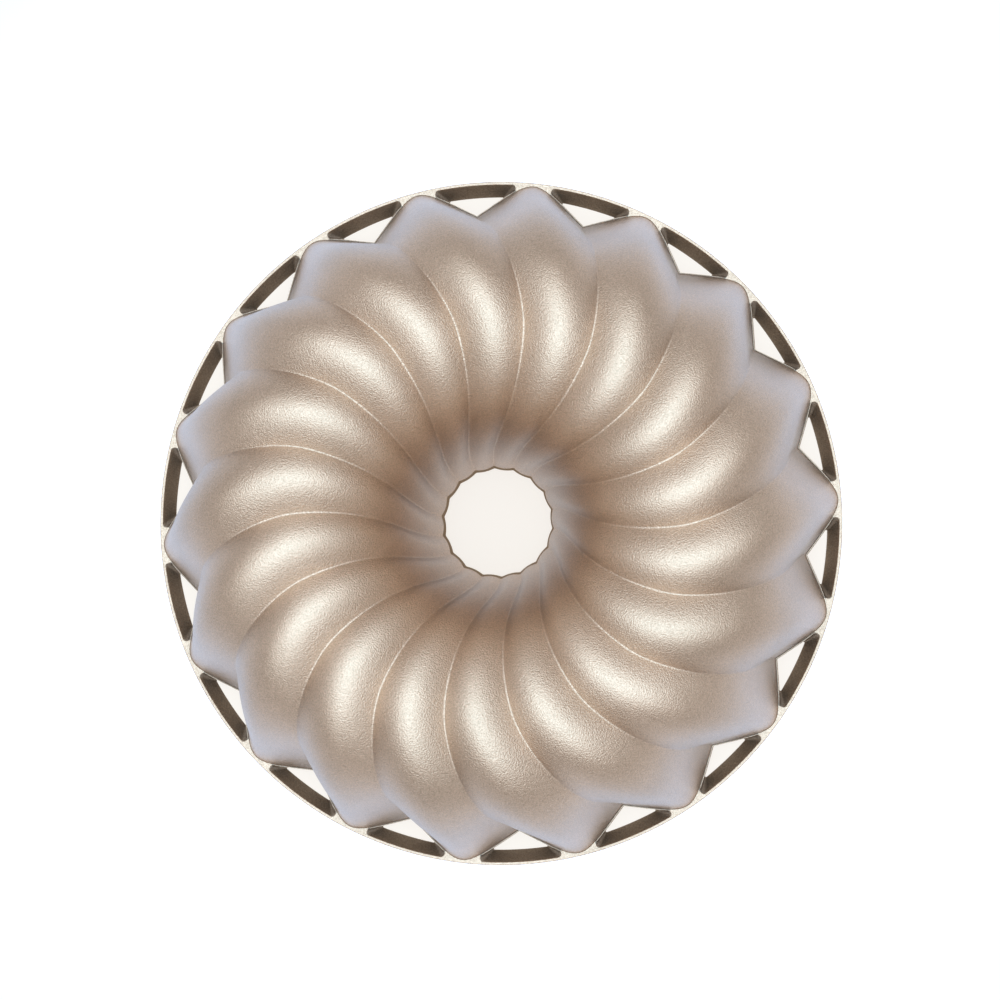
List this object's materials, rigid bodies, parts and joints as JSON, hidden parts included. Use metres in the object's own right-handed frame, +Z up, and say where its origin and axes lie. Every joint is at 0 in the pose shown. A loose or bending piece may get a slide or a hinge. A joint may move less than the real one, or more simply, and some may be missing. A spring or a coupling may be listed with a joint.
{
  "type": "bundt pan",
  "caption": "Fluted ring cake pan in cast aluminium with swirled flutes, an open centre tube and a pierced ring at its mouth.",
  "frame": {"origin": "centre of the mouth's rest plane, on the pan's axis; the pan lies mouth down on it", "axes": "+Z up along the pan's axis, from the mouth to the crest; +X and +Y are level, and the first notch between flutes is 13.9 degrees from +X"},
  "size_m": [0.26, 0.26, 0.0866],
  "materials": {
    "outside_coating": "cast aluminium under a champagne-gold metallic paint with a fine cast texture",
    "release_coating": "smooth satin non-stick coating in the same champagne tone"
  },
  "bodies": {
    "root": {"outer_wall": "outside_coating", "centre_tube": "outside_coating", "rim_ring": "outside_coating", "nonstick_lining": "release_coating"}
  },
  "joints": []
}
